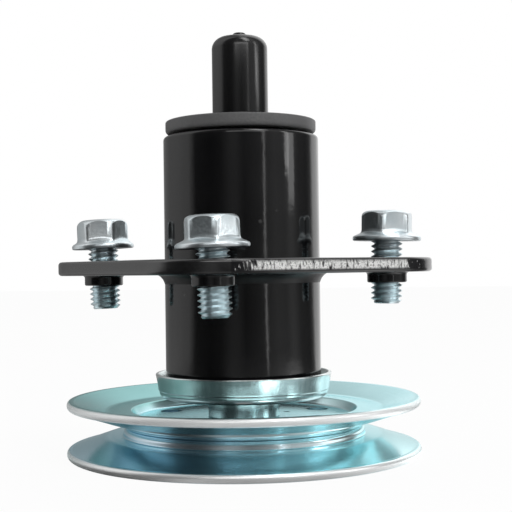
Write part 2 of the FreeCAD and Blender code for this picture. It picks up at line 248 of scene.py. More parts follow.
# %% Gloss black paint
gloss_paint, tree, shader, place = new_finish("gloss_black_paint", ior=1.5)
peel = use_group(tree, mottle, place, Scale=420.0, Low=0.3, High=0.7)
haze = use_group(tree, mottle, place, Scale=55.0)
dust = use_group(tree, specks, place, Scale=420.0, Amount=0.02)
coat = blend_colour(tree, haze.outputs["Mask"], (0.0035, 0.0035, 0.004), (0.006, 0.006, 0.0065))
dusty = blend_colour(tree, dust.outputs["Mask"], coat, (0.05, 0.05, 0.05))
set_finish(tree, shader, dusty, haze.outputs["Mask"], 0.07, 0.12)
bump(tree, shader, peel.outputs["Mask"], 0.05, 0.0002)
print("finish", gloss_paint.name)

# %% [markdown]
# ## Matte grey steel
# The blade-seat disc is dull and even, like phosphated steel: dark grey, with a very fine grain.

# %% Phosphated steel
phosphate, tree, shader, place = new_finish("phosphated_steel", ior=1.45)
fine = use_group(tree, mottle, place, Scale=1500.0, Low=0.3, High=0.7)
broad = use_group(tree, mottle, place, Scale=60.0)
shade = blend_colour(tree, fine.outputs["Mask"], (0.085, 0.086, 0.087), (0.13, 0.13, 0.13))
cloudy = blend_colour(tree, broad.outputs["Mask"], shade, (0.11, 0.11, 0.112))
set_finish(tree, shader, cloudy, fine.outputs["Mask"], 0.42, 0.56)
bump(tree, shader, fine.outputs["Mask"], 0.12, 0.0001)
print("finish", phosphate.name)

# %% [markdown]
# ## Dipped vinyl
# The thread cap is dipped in liquid vinyl, so it is glossy and soft-edged, with shallow runs.

# %% Black vinyl
vinyl, tree, shader, place = new_finish("black_vinyl", ior=1.52)
runs = add_node(tree, "ShaderNodeMapping", {"Vector": place, "Scale": (1.0, 1.0, 0.25)})
sag = use_group(tree, mottle, runs.outputs["Vector"], Scale=160.0, Low=0.3, High=0.7)
lint = use_group(tree, specks, place, Scale=380.0, Amount=0.03)
skin = blend_colour(tree, lint.outputs["Mask"], (0.007, 0.007, 0.0075), (0.05, 0.05, 0.05))
set_finish(tree, shader, skin, sag.outputs["Mask"], 0.14, 0.22)
bump(tree, shader, sag.outputs["Mask"], 0.07, 0.0003)
print("finish", vinyl.name)

# %% [markdown]
# ## Blue zinc
# The pulley is zinc plated and passivated blue. Its colour drifts from a darker teal on the left to a
# paler blue on the right, and turns a lighter blue on the lower part of the pulley: the blue hue is the
# film's, the darker left is painted shade, and the extra lightness low down is painted light. The worn
# edges of the rims show bare zinc. The pressing leaves fine rings, which stretch every reflection round
# the pulley.

# %% Blue zinc
# Radii where the wear begins and is full, half width of the left-to-right change that paints shade on the left,
# and levels where the painted lighter blue of the lower part begins and is full.
WORN_FROM, WORN_TO = 0.0536, 0.0543
DRIFT = 0.045
BLUE_FROM, BLUE_TO = 0.0135, 0.0085
WORN_ROUGHNESS = 0.36

blue_zinc, tree, shader, place = new_finish("blue_zinc", specular_tint=(0.79, 0.98, 1.0, 1.0))
film = use_group(tree, mottle, place, Scale=28.0, Low=0.3, High=0.7)
rings = use_group(tree, turned_marks, place, Rings=1400.0, Sweep=1.5)
place_parts = add_node(tree, "ShaderNodeSeparateXYZ", {"Vector": place}).outputs
# Darker teal on the left, paler blue on the right: the hue is the film's, the darkening on the left is painted
# shade.
left_right_tint_and_shade = ramp(tree, place_parts["X"], -DRIFT, DRIFT)
cloud = blend_value(tree, film.outputs["Mask"], -0.15, 0.15)
mask = calculate(tree, "ADD", left_right_tint_and_shade, cloud, use_clamp=True)
tint = blend_colour(tree, mask, (0.25, 0.46, 0.45), (0.66, 0.88, 0.91))
# Lower down the colour turns a lighter, bluer zinc: the blue is the film's, the extra lightness is painted
# light on the lower flank.
deep = ramp(tree, place_parts["Z"], BLUE_FROM, BLUE_TO)
below = blend_colour(tree, mask, (0.74, 0.88, 1.0), (0.78, 0.94, 0.96))
tint = blend_colour(tree, deep, tint, below)
worn = ramp(tree, rings.outputs["Radius"], WORN_FROM, WORN_TO)
tree.links.new(blend_colour(tree, worn, tint, (0.97, 0.98, 0.98)), shader.inputs["Base Color"])
satin = blend_value(tree, rings.outputs["Height"], 0.12, 0.26)
dulled = add_node(tree, "ShaderNodeMix", {"Factor": worn}, data_type="FLOAT")
tree.links.new(satin, dulled.inputs[2])
dulled.inputs[3].default_value = WORN_ROUGHNESS
tree.links.new(dulled.outputs[0], shader.inputs["Roughness"])
scuffed = calculate(tree, "MULTIPLY", worn, blend_value(tree, deep, 0.6, 0.2))
tree.links.new(blend_value(tree, scuffed, 1.0, 0.0), shader.inputs["Metallic"])
bump(tree, shader, rings.outputs["Height"], 0.10, 0.0001)
print("finish", blue_zinc.name)

# %% [markdown]
# ## Dull and bright zinc
# The cup has the same plating, but drawn and tumbled: greyer, with a mottled grain. The screws are
# brighter, with a slight blue cast and a satin face. Their threads keep more of the blue film.

# %% Dull zinc
dull_zinc, tree, shader, place = new_finish("dull_zinc", metallic=1.0)
bloom = use_group(tree, mottle, place, Scale=120.0, Low=0.35, High=0.68)
drawn = add_node(tree, "ShaderNodeMapping", {"Vector": place, "Scale": (1.0, 1.0, 0.2)})
scuffs = use_group(tree, mottle, drawn.outputs["Vector"], Scale=700.0, Low=0.3, High=0.7)
plate_tint = blend_colour(tree, bloom.outputs["Mask"], (0.62, 0.69, 0.69), (0.76, 0.81, 0.81))
set_finish(tree, shader, plate_tint, scuffs.outputs["Mask"], 0.14, 0.24)
bump(tree, shader, scuffs.outputs["Mask"], 0.15, 0.0001)
print("finish", dull_zinc.name)

# %% Bright zinc
FILM_FROM, FILM_TO = 0.0624, 0.0616

bright_zinc, tree, shader, place = new_finish("bright_zinc", metallic=1.0)
sheen = use_group(tree, mottle, place, Scale=180.0)
nicks = use_group(tree, mottle, place, Scale=1500.0, Low=0.35, High=0.65)
plate_tint = blend_colour(tree, sheen.outputs["Mask"], (0.66, 0.74, 0.77), (0.80, 0.85, 0.87))
level = add_node(tree, "ShaderNodeSeparateXYZ", {"Vector": place}).outputs["Z"]
film = ramp(tree, level, FILM_FROM, FILM_TO)
plate_tint = blend_colour(tree, film, plate_tint, (0.83, 0.96, 1.0))
set_finish(tree, shader, plate_tint, nicks.outputs["Mask"], 0.28, 0.40)
bump(tree, shader, nicks.outputs["Mask"], 0.10, 0.0001)
print("finish", bright_zinc.name)

# %% [markdown]
# ## Bearing steel and seal rubber
# The bearings sit sealed inside the tube. Their rings are ground bright, and the seals are black
# rubber moulded on steel. These pieces keep their CAD shapes, which are right as they are.

# %% Bearing finishes
ground_steel, tree, shader, place = new_finish("ground_steel", metallic=1.0)
grind = use_group(tree, turned_marks, place, Rings=2600.0, Sweep=0.6)
steel_tint = blend_colour(tree, grind.outputs["Height"], (0.52, 0.52, 0.53), (0.66, 0.66, 0.66))
set_finish(tree, shader, steel_tint, grind.outputs["Height"], 0.16, 0.30)

seal_rubber, tree, shader, place = new_finish("seal_rubber")
rub = use_group(tree, mottle, place, Scale=800.0)
rubber_tint = blend_colour(tree, rub.outputs["Mask"], (0.012, 0.012, 0.012), (0.022, 0.022, 0.022))
set_finish(tree, shader, rubber_tint, rub.outputs["Mask"], 0.55, 0.75)
for name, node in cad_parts.items():
    hidden_finish = seal_rubber if "seal" in name else ground_steel
    node.data.materials.clear()
    node.data.materials.append(hidden_finish)
print("finishes", ground_steel.name, seal_rubber.name)

# %% [markdown]
# ## Turning a piece on the lathe
# Most of the spindle is turned or pressed round one axis. A handful of corners draw half of the
# section, each corner is rounded by a vertex bevel, and a full spin sweeps the outline round the
# axis. The spin closes on itself, so the ends are merged and the normals turned outwards.

# %% Lathe
TURN_STEPS = 144
ARC_STEP = math.radians(15)


def draw_section(bm, corners):
    """Edges of a closed half section, from (r, z, rounding) corners in millimetres."""
    spots = [Vector((r * MM, 0, z * MM)) for r, z, _ in corners]
    verts = [bm.verts.new(spot) for spot in spots]
    face = bm.faces.new(verts)
    for i, (_, _, rounding) in enumerate(corners):
        if not rounding:
            continue
        back = spots[i - 1] - spots[i]
        ahead = spots[(i + 1) % len(spots)] - spots[i]
        opening = back.angle(ahead)
        bmesh.ops.bevel(
            bm, geom=[verts[i]], offset=rounding * MM / math.tan(opening / 2), offset_type="ABSOLUTE",
            segments=max(2, round((math.pi - opening) / ARC_STEP)), profile=0.5, affect="VERTICES",
            material=-1, clamp_overlap=False)
    bmesh.ops.delete(bm, geom=bm.faces[:], context="FACES_ONLY")


def turn(corners, steps=TURN_STEPS):
    """A bmesh of the section spun once round the axis."""
    bm = bmesh.new()
    draw_section(bm, corners)
    bmesh.ops.spin(
        bm, geom=bm.verts[:] + bm.edges[:], cent=(0, 0, 0), axis=(0, 0, 1), angle=2 * math.pi,
        steps=steps, use_merge=True)
    close_up(bm)
    return bm


def close_up(bm):
    """Merges what meets and turns the faces outwards."""
    bmesh.ops.remove_doubles(bm, verts=bm.verts, dist=2e-6)
    bmesh.ops.dissolve_degenerate(bm, edges=bm.edges, dist=1e-7)
    bmesh.ops.recalc_face_normals(bm, faces=bm.faces)


def make_piece(bm, name, body, nodes, slot, *finishes, crease=32):
    """Turns a bmesh into a finished piece that rides on a body and stands for CAD nodes."""
    mesh = bpy.data.meshes.new(name)
    bm.to_mesh(mesh)
    open_edges = sum(1 for edge in bm.edges if len(edge.link_faces) != 2)
    bm.free()
    for finish in finishes:
        mesh.materials.append(finish)
    mesh.shade_smooth()
    mesh.set_sharp_from_angle(angle=math.radians(crease))
    piece = bpy.data.objects.new(name, mesh)
    bpy.context.scene.collection.objects.link(piece)
    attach(piece, body)
    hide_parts(*nodes)
    print("made", name, len(mesh.polygons), "faces", open_edges, "open edges")


print("lathe ready,", TURN_STEPS, "steps a turn")

# %% [markdown]
# ## Housing tube
# A length of thick steel tube, bored at both ends for the bearings. Its rounded upper edge catches
# a thin line of light under the disc. Its levels are read from the CAD nodes.

# %% Housing tube
TUBE_BOTTOM, TUBE_TOP, TUBE_R = extent("housing_tube")
LOWER_SHOULDER, RING_R = extent("lower_outer_ring")[1:]
UPPER_SHOULDER = extent("upper_outer_ring")[0]
SEAT_R, BORE_R = RING_R + 0.02, RING_R - 2.0
TUBE_EDGE = 1.2
FINE_STEPS = 192
make_piece(turn([
    (SEAT_R, TUBE_BOTTOM, 0), (TUBE_R, TUBE_BOTTOM, TUBE_EDGE), (TUBE_R, TUBE_TOP, TUBE_EDGE),
    (SEAT_R, TUBE_TOP, 0.3), (SEAT_R, UPPER_SHOULDER, 0), (BORE_R, UPPER_SHOULDER, 0),
    (BORE_R, LOWER_SHOULDER, 0), (SEAT_R, LOWER_SHOULDER, 0),
], steps=FINE_STEPS), "tube_housing", "housing", ["housing_tube"], "black_paint", gloss_paint)

# %% [markdown]
# ## Mounting flange
# The plate is cut from strip, so two of its sides keep the strip's smooth rolled edge and the other
# two are sheared. A shear cuts part of the thickness cleanly and tears the rest, which leaves a
# rough band with near-white flecks: bare metal where the paint is thin, and painted highlight for
# the sparkle of light on the torn band. The outline starts as four points with bevelled corners,
# and the screw holes are drawn down into collars, spun from their own section and merged with the plate.

# %% Flange sizes
PLATE_THICK, CORNER_R, MARGIN = 4.3, 25.4, 13.6
COLLAR_END, PLATE_TOP, PLATE_REACH = extent("mounting_flange")
PLATE_BOTTOM = PLATE_TOP - PLATE_THICK
BOLT_R, CORNER_AT = PLATE_REACH - MARGIN, PLATE_REACH - CORNER_R
HALF_SIDE = CORNER_AT / math.sqrt(2) * MM
PLATE_BORE = TUBE_R + 0.05
print("plate from", round(PLATE_BOTTOM, 2), "to", round(PLATE_TOP, 2), "mm, screws at", round(BOLT_R, 2), "mm")

# %% Rolled edge
rolled_edge, tree, shader, place = new_finish("rolled_black_edge", ior=1.9)
satin = use_group(tree, mottle, place, Scale=700.0, Low=0.3, High=0.7)
shade = blend_colour(tree, satin.outputs["Mask"], (0.003, 0.003, 0.0035), (0.006, 0.006, 0.0065))
set_finish(tree, shader, shade, satin.outputs["Mask"], 0.16, 0.24)
bump(tree, shader, satin.outputs["Mask"], 0.05, 0.0001)
print("finish", rolled_edge.name)

# %% Torn edge
# How far the tear runs past the straight side, how it fades there, and where its band begins and ends.
TEAR_SPILL, TEAR_FADE = 12.0, 9.0
BAND_BELOW, BAND_ABOVE, BAND_END = (0.9, 1.5), (0.4, 1.4), (2.5, 0.5)
SHEAR_WAY = (0.7071, 0.7071, 0)

torn_edge, tree, shader, place = new_finish("torn_black_edge", ior=1.5)
level = add_node(tree, "ShaderNodeSeparateXYZ", {"Vector": place}).outputs["Z"]
from_below = ramp(tree, level, *((PLATE_BOTTOM + depth) * MM for depth in BAND_BELOW))
from_above = ramp(tree, level, *((PLATE_TOP - depth) * MM for depth in BAND_ABOVE))
band = calculate(tree, "MULTIPLY", from_below, from_above)
way = add_node(tree, "ShaderNodeVectorMath", {0: place, 1: SHEAR_WAY}, operation="DOT_PRODUCT")
along = way.outputs["Value"]
from_start = ramp(
    tree, along, -HALF_SIDE - TEAR_SPILL * MM, -HALF_SIDE - (TEAR_SPILL - TEAR_FADE) * MM)
from_end = ramp(tree, along, *(HALF_SIDE + past * MM for past in BAND_END))
amount = calculate(tree, "MULTIPLY", from_start, from_end)
stretch = add_node(tree, "ShaderNodeMapping", {"Vector": place, "Scale": (1.0, 1.0, 0.4)})
tears = use_group(tree, mottle, stretch.outputs["Vector"], Scale=1300.0)
for label, sparse, dense in (("Low", 0.66, 0.31), ("High", 0.78, 0.48)):
    tree.links.new(blend_value(tree, amount, sparse, dense), tears.inputs[label])
grit = use_group(tree, mottle, place, Scale=2600.0, Low=0.22, High=0.50)
torn_grit = calculate(tree, "MULTIPLY", tears.outputs["Mask"], grit.outputs["Mask"])
flecks = calculate(tree, "MULTIPLY", band, torn_grit)
# Near-white flecks in the torn band: bare metal where the paint is thin, and painted highlight for the sparkle
# of light there.
bare_and_glint_flecks = blend_colour(tree, flecks, (0.006, 0.006, 0.007), (0.88, 0.88, 0.87))
set_finish(tree, shader, bare_and_glint_flecks, flecks, 0.10, 0.45)
tree.links.new(blend_value(tree, flecks, 0.0, 0.4), shader.inputs["Metallic"])
bump(tree, shader, flecks, 0.4, 0.0003)
print("finish", torn_edge.name)

# %% Flange outline and holes
HOLE_R, COLLAR_R = 4.3, 6.05
FLARE_R = COLLAR_R + 1.2
HOLE_STEPS, CORNER_STEPS, SIDE_CUTS = 48, 96, 150
LONG_SIDE = 10.0
SCREW_ANGLES = (-90, 0, 90, 180)


def around(radius, degrees, z=0.0):
    """Point at a radius, a direction and a level in millimetres."""
    turn_angle = math.radians(degrees)
    return Vector((radius * math.cos(turn_angle), radius * math.sin(turn_angle), z)) * MM


def lift(bm, height):
    """Gives a flat sheet of faces a thickness upwards."""
    raised = bmesh.ops.extrude_face_region(bm, geom=bm.faces[:])
    top = [part for part in raised["geom"] if isinstance(part, bmesh.types.BMVert)]
    bmesh.ops.translate(bm, vec=(0, 0, height * MM), verts=top)


plate = bmesh.new()
tips = [plate.verts.new(around(CORNER_AT + CORNER_R * math.sqrt(2), a, PLATE_BOTTOM)) for a in SCREW_ANGLES]
plate.faces.new(tips)
bmesh.ops.bevel(
    plate, geom=tips, offset=CORNER_R * MM, offset_type="ABSOLUTE", segments=CORNER_STEPS,
    profile=0.5, affect="VERTICES", material=-1)
bmesh.ops.delete(plate, geom=plate.faces[:], context="FACES_ONLY")
sides = [edge for edge in plate.edges if edge.calc_length() > LONG_SIDE * MM]
bmesh.ops.subdivide_edges(plate, edges=sides, cuts=SIDE_CUTS)
for angle in SCREW_ANGLES:
    bmesh.ops.create_circle(
        plate, cap_ends=False, radius=FLARE_R * MM, segments=HOLE_STEPS,
        matrix=Matrix.Translation(around(BOLT_R, angle, PLATE_BOTTOM)))
bmesh.ops.create_circle(
    plate, cap_ends=False, radius=PLATE_BORE * MM, segments=TURN_STEPS,
    matrix=Matrix.Translation((0, 0, PLATE_BOTTOM * MM)))
bmesh.ops.triangle_fill(plate, use_beauty=True, edges=plate.edges[:], normal=(0, 0, 1))
lift(plate, PLATE_THICK)
close_up(plate)
print("plate has", len(plate.faces), "faces")

# %% Rounded rim
EDGE_ROUND = 1.0
RIM_CLEAR = 37.0


def on_rim(vert):
    """True for the plate's outer edge, which lies outside the tube hole and the screw holes."""
    clear = min((vert.co.xy - around(BOLT_R, a).xy).length for a in SCREW_ANGLES)
    return vert.co.xy.length > RIM_CLEAR * MM - 1e-6 and clear > (FLARE_R + 2) * MM


edge_faces = [f for f in plate.faces if abs(f.normal.z) < 0.3 and all(on_rim(v) for v in f.verts)]
for face in edge_faces:
    spot = face.calc_center_median()
    across, along = (spot.x - spot.y) / math.sqrt(2), (spot.x + spot.y) / math.sqrt(2)
    sheared = abs(across) > HALF_SIDE and abs(along) < HALF_SIDE + TEAR_SPILL * MM
    face.material_index = 2 if sheared else 1
lips = {edge for face in edge_faces for edge in face.edges
        if any(abs(other.normal.z) > 0.9 for other in edge.link_faces)}
bmesh.ops.bevel(
    plate, geom=list(lips), offset=EDGE_ROUND * MM, offset_type="OFFSET", segments=5, profile=0.5,
    affect="EDGES", material=-1)
print("rounded", len(lips), "edges of the rim")

# %% Shear tears
random.seed(5)
TEAR_ROWS, TEAR_DEPTH = 5, 0.07

torn = {face for face in plate.faces if face.material_index == 2 and abs(face.normal.z) < 0.02}
posts = [edge for edge in plate.edges if edge.link_faces[0] in torn and edge.link_faces[-1] in torn
         and abs(edge.verts[0].co.z - edge.verts[1].co.z) > MM]
split = bmesh.ops.subdivide_edges(plate, edges=posts, cuts=TEAR_ROWS, use_grid_fill=True)
plate.normal_update()
inner = {part for part in split["geom_inner"] if isinstance(part, bmesh.types.BMVert)}
for vert in sorted(inner, key=lambda v: (round(v.co.x, 6), round(v.co.y, 6), round(v.co.z, 6))):
    along = abs(vert.co.x + vert.co.y) / math.sqrt(2)
    fade = min(1, max(0, (HALF_SIDE + TEAR_SPILL * MM - along) / (TEAR_FADE * MM)))
    vert.co -= vert.normal * random.uniform(0, TEAR_DEPTH) * fade * MM
print("tore", len(inner), "points of the sheared sides")

# %% Collars drawn down from the holes
def join(bm, other, matrix=None):
    """Adds another bmesh to bm, and frees it."""
    if matrix is not None:
        bmesh.ops.transform(other, matrix=matrix, verts=other.verts)
    scratch = bpy.data.meshes.new("join")
    other.to_mesh(scratch)
    other.free()
    bm.from_mesh(scratch)
    bpy.data.meshes.remove(scratch)


def spin_open(corners, gap_r, steps):
    """Spins a section after taking out its closing line at a radius, to merge with a flat sheet."""
    bm = bmesh.new()
    draw_section(bm, corners)
    closing = [e for e in bm.edges if all(abs(v.co.x - gap_r * MM) < 1e-7 for v in e.verts)]
    bmesh.ops.delete(bm, geom=closing, context="EDGES")
    bmesh.ops.spin(
        bm, geom=bm.verts[:] + bm.edges[:], cent=(0, 0, 0), axis=(0, 0, 1), angle=2 * math.pi,
        steps=steps, use_merge=True)
    return bm


def drop_wall(bm, centre, radius):
    """Deletes the upright wall that a lifted sheet has round one circle."""
    wall = [f for f in bm.faces if all(abs((v.co - centre).xy.length - radius * MM) < 1e-6 for v in f.verts)]
    bmesh.ops.delete(bm, geom=wall, context="FACES")


for angle in SCREW_ANGLES:
    drop_wall(plate, around(BOLT_R, angle), FLARE_R)
    collar = spin_open([
        (FLARE_R, PLATE_BOTTOM, 0), (FLARE_R, PLATE_TOP, 0), (HOLE_R, PLATE_TOP, 0.3),
        (HOLE_R, COLLAR_END, 0.2), (COLLAR_R, COLLAR_END, 0.5), (COLLAR_R, PLATE_BOTTOM, 0.9),
    ], FLARE_R, HOLE_STEPS)
    join(plate, collar, Matrix.Translation(around(BOLT_R, angle)))
close_up(plate)
make_piece(
    plate, "flange_plate", "housing", ["mounting_flange"], "black_paint", gloss_paint, rolled_edge, torn_edge)

# %% [markdown]
# ## Weld
# A fillet weld runs round the tube under the plate. Its face sags towards the corner, and the
# welder's steady pauses leave faint ripples, so the spun bead is pushed in and out a very little
# along its length. The paint lies thin and dull on it.

# %% Weld bead
weld_paint, tree, shader, place = new_finish("dull_black_paint", ior=1.4)
smoke = use_group(tree, mottle, place, Scale=500.0, Low=0.3, High=0.7)
shade = blend_colour(tree, smoke.outputs["Mask"], (0.004, 0.004, 0.0045), (0.010, 0.010, 0.0105))
set_finish(tree, shader, shade, smoke.outputs["Mask"], 0.34, 0.46)
bump(tree, shader, smoke.outputs["Mask"], 0.1, 0.0002)

RIPPLES, RIPPLE_DEPTH, RIPPLE_STEPS = 46, 0.05, 8
WELD_TOE, WELD_TOP, WELD_R = extent("flange_weld")
THROAT_OUT, THROAT_DOWN, THROAT_BEND = 0.59, 0.75, 3.8
bead = turn([
    (PLATE_BORE, WELD_TOE, 0), (PLATE_BORE + THROAT_OUT, WELD_TOP - THROAT_DOWN, THROAT_BEND),
    (WELD_R, WELD_TOP, 0), (PLATE_BORE, WELD_TOP, 0),
], steps=RIPPLES * RIPPLE_STEPS)
random.seed(8)
wander = [random.uniform(0.5, 1.0) for _ in range(RIPPLES)]
for vert in bead.verts:
    bearing = math.atan2(vert.co.y, vert.co.x) / (2 * math.pi) % 1 * RIPPLES
    ripple = abs(math.sin(math.pi * bearing)) * wander[int(bearing) % RIPPLES]
    reach = vert.co.xy.length
    inside = min(reach - PLATE_BORE * MM, WELD_TOP * MM - vert.co.z) / MM
    vert.co.xy *= 1 + RIPPLE_DEPTH * MM * (ripple - 1) * max(0, min(1, inside)) / reach
make_piece(bead, "weld_bead", "housing", ["flange_weld"], "black_paint", weld_paint)

# %% [markdown]
# ## Hex flange screws
# Each screw is a domed hex head on a coned washer, and a rolled thread. The head grows from one
# ring: a disc on top is pushed out over the dome until each point meets its flat, so that the dome
# and the flats meet in arches. Then it goes down the flats and out over the washer. The thread is
# one pitch of its section, spun with a rise at every step, so that each turn meets the last.

# %% Screw head
FLATS, HEAD_HEIGHT, DOME, CORNER_TRIM = 14.29, 9.2, 2.6, 0.15
WASHER_EDGE, WASHER_RISE = 1.3, 1.5
SCREW_R, SCREW_LENGTH, PITCH = 4.7625, 19.05, 1.5875
HEX_STEPS = 96
CORNER_REACH = FLATS / math.sqrt(3) - CORNER_TRIM
CROWN_R = CORNER_REACH - DOME


def hex_reach(degrees, flats):
    """Distance from the axis to the hexagon's side in a direction, with a corner at zero."""
    return flats / 2 / math.cos(math.radians((degrees % 60) - 30))


def grow_ring(bm, ring, reach, z):
    """Extrudes a ring of edges and sets its new corners at reach(angle) and level z."""
    made = bmesh.ops.extrude_edge_only(bm, edges=ring)["geom"]
    for vert in [part for part in made if isinstance(part, bmesh.types.BMVert)]:
        degrees = math.degrees(math.atan2(vert.co.y, vert.co.x))
        distance = reach(degrees)
        level = z(distance) if callable(z) else z
        vert.co = around(distance, degrees, level)
    return [part for part in made if isinstance(part, bmesh.types.BMEdge)
            and all(v in made for v in part.verts) and len(part.link_faces) == 1]


def hexagon(degrees):
    return min(hex_reach(degrees, FLATS), CORNER_REACH)


def dome(r):
    return HEAD_HEIGHT - DOME + math.sqrt(max(0, DOME ** 2 - (r - CROWN_R) ** 2))


def add_hex_head(bm, washer_r):
    """Head with its underside on z = 0."""
    def cone(r):
        return WASHER_EDGE + WASHER_RISE * (washer_r - r) / (washer_r - FLATS / 2)

    bmesh.ops.create_circle(
        bm, cap_ends=True, radius=CROWN_R * MM, segments=HEX_STEPS,
        matrix=Matrix.Translation((0, 0, HEAD_HEIGHT * MM)))
    ring = [edge for edge in bm.edges if len(edge.link_faces) == 1]
    for share in (0.2, 0.4, 0.55, 0.7, 0.8, 0.9, 0.97, 1.0):
        ring = grow_ring(bm, ring, lambda d: min(hexagon(d), CROWN_R + DOME * share), dome)
    for out, up in ((0.0, 1.0), (0.08, 0.5), (0.3, 0.15), (0.75, 0.0)):
        ring = grow_ring(bm, ring, lambda d: hexagon(d) + out, lambda r: cone(r) + up)
    for reach, level in (
            (washer_r - 0.45, cone(washer_r - 0.45)), (washer_r - 0.12, WASHER_EDGE - 0.06),
            (washer_r, WASHER_EDGE - 0.35), (washer_r, 0.35), (washer_r - 0.1, 0.1),
            (washer_r - 0.35, 0.0), (SCREW_R - 0.6, 0.0)):
        ring = grow_ring(bm, ring, lambda d: reach, level)
    bmesh.ops.holes_fill(bm, edges=ring, sides=0)
    close_up(bm)


print("head is", round(2 * CORNER_REACH, 2), "mm over its corners")

# %% Rolled thread
# The form goes from root to crest and back over one pitch, as shares of the depth and the pitch.
THREAD_STEPS, THREAD_DEPTH = 48, 0.61
THREAD_FORM = ((0.0, 0.0), (0.0, 0.07), (0.12, 0.14), (0.86, 0.38), (1.0, 0.46), (1.0, 0.54),
               (0.86, 0.62), (0.12, 0.86), (0.0, 0.93), (0.0, 1.0))


def add_thread(bm, crest, pitch, bottom, top, taper):
    """A solid threaded bar between two levels, its lower end tapered."""
    depth = THREAD_DEPTH * pitch
    bar = bmesh.new()
    start = bottom - 2 * pitch
    verts = [bar.verts.new(around(crest - depth * (1 - rise), 0, start + z * pitch)) for rise, z in THREAD_FORM]
    for low, high in zip(verts, verts[1:]):
        bar.edges.new((low, high))
    turns = math.ceil((top - bottom) / pitch) + 3
    bmesh.ops.spin(
        bar, geom=bar.verts[:] + bar.edges[:], cent=(0, 0, 0), axis=(0, 0, 1),
        dvec=(0, 0, pitch * MM / THREAD_STEPS), angle=2 * math.pi * turns, steps=THREAD_STEPS * turns)
    bmesh.ops.remove_doubles(bar, verts=bar.verts, dist=2e-6)
    for level, keep_above in ((bottom, True), (top, False)):
        bmesh.ops.bisect_plane(
            bar, geom=bar.verts[:] + bar.edges[:] + bar.faces[:], plane_co=(0, 0, level * MM),
            plane_no=(0, 0, 1), clear_inner=keep_above, clear_outer=not keep_above)
    for vert in bar.verts:
        limit = (crest - taper) * MM + (vert.co.z - bottom * MM)
        reach = vert.co.xy.length
        if reach > limit:
            vert.co.xy *= limit / reach
    bmesh.ops.holes_fill(bar, edges=[e for e in bar.edges if len(e.link_faces) == 1], sides=0)
    bmesh.ops.triangulate(bar, faces=[f for f in bar.faces if len(f.verts) > 4])
    bmesh.ops.recalc_face_normals(bar, faces=bar.faces)
    join(bm, bar)


print("thread form has", len(THREAD_FORM), "points")

# %% Four screws at their own depths
# Direction, turn of the hexagon, gap under the head, washer radius, and lean outwards and sideways.
SCREWS = (
    (-90, -8.8, 2.9, 10.4, 0.0, 1.8), (0, 22.4, 5.2, 10.4, 1.0, 0.0), (90, 15.0, 3.6, 10.4, 0.0, 0.0),
    (180, 8.9, 4.2, 9.75, 2.1, 0.0))
SHANK_TOP, SHANK_TAPER = 0.4, 1.1
screws = bmesh.new()
for angle, hex_turn, gap, washer_r, lean_out, lean_aside in SCREWS:
    screw = bmesh.new()
    add_hex_head(screw, washer_r)
    add_thread(screw, SCREW_R, PITCH, -SCREW_LENGTH, SHANK_TOP, SHANK_TAPER)
    tilt = Matrix.Rotation(math.radians(lean_out), 4, around(1, angle + 90))
    tilt = tilt @ Matrix.Rotation(math.radians(lean_aside), 4, around(1, angle))
    seat = Matrix.Translation(around(BOLT_R, angle, PLATE_TOP))
    own = Matrix.Translation((0, 0, gap * MM)) @ Matrix.Rotation(math.radians(hex_turn), 4, "Z")
    join(screws, screw, seat @ tilt @ own)
make_piece(screws, "hex_flange_screws", "housing", ["flange_screws"], "zinc", bright_zinc, crease=36)

# %% [markdown]
# ## Shaft and blade seat
# The shaft is one turning: the wide disc that the blade sits on, a pilot above it, and a thread
# under the cap. Below, it runs through both bearings to the pulley. The thread shows when the cap
# is pulled off.

# %% Shaft
SHAFT_END, BLADE_THREAD_END, DISC_R = extent("spindle_shaft")
PILOT_TOP = extent("thread_cap")[0]
DISC_GAP, DISC_THICK = 0.9, 3.8
DISC_BOTTOM = TUBE_TOP + DISC_GAP
DISC_TOP = DISC_BOTTOM + DISC_THICK
PILOT_R, THREAD_R, BLADE_PITCH = 9.525, 7.15, 1.4111
CORE_R, CORE_RISE, END_TAPER, SUNK = 6.0, 0.4, 1.0, 0.2
SHAFT_R, BOSS_R, DRIVE_R, DRIVE_FLAT = 8.48, 12.0, 8.0, 7.25
BOSS_BOTTOM = extent("upper_inner_ring")[1]
JOURNAL_BOTTOM = extent("lower_inner_ring")[0] + 0.3
DRIVE_BOTTOM = extent("pulley_nut")[1] + 0.2
DRIVE_TOP = extent("pulley_hub")[0] + 0.2
shaft = turn([
    (0, DRIVE_BOTTOM, 0), (DRIVE_FLAT, DRIVE_BOTTOM, 0), (DRIVE_FLAT, DRIVE_TOP, 0), (DRIVE_R, DRIVE_TOP, 0),
    (DRIVE_R, JOURNAL_BOTTOM, 0), (SHAFT_R, JOURNAL_BOTTOM, 0), (SHAFT_R, BOSS_BOTTOM, 0),
    (BOSS_R, BOSS_BOTTOM, 0), (BOSS_R, DISC_BOTTOM, 0), (DISC_R, DISC_BOTTOM, 1.2), (DISC_R, DISC_TOP, 0.5),
    (PILOT_R, DISC_TOP, 0.2), (PILOT_R, PILOT_TOP, 0.3), (CORE_R, PILOT_TOP, 0),
    (CORE_R, PILOT_TOP + CORE_RISE, 0), (0, PILOT_TOP + CORE_RISE, 0),
], steps=FINE_STEPS)
blade_thread = bmesh.new()
add_thread(blade_thread, THREAD_R, BLADE_PITCH, -BLADE_THREAD_END, -PILOT_TOP + SUNK, END_TAPER)
join(shaft, blade_thread, Matrix.Rotation(math.pi, 4, "X"))
pulley_thread = bmesh.new()
add_thread(pulley_thread, THREAD_R, BLADE_PITCH, SHAFT_END, DRIVE_BOTTOM + SUNK, END_TAPER)
join(shaft, pulley_thread)
make_piece(shaft, "shaft_and_seat", "rotor", ["spindle_shaft"], "dark_steel", phosphate, crease=36)

# %% [markdown]
# ## Thread cap
# A soft cap pushed over the thread. Its closed end is domed, with the small drip that dipping
# leaves in the middle.

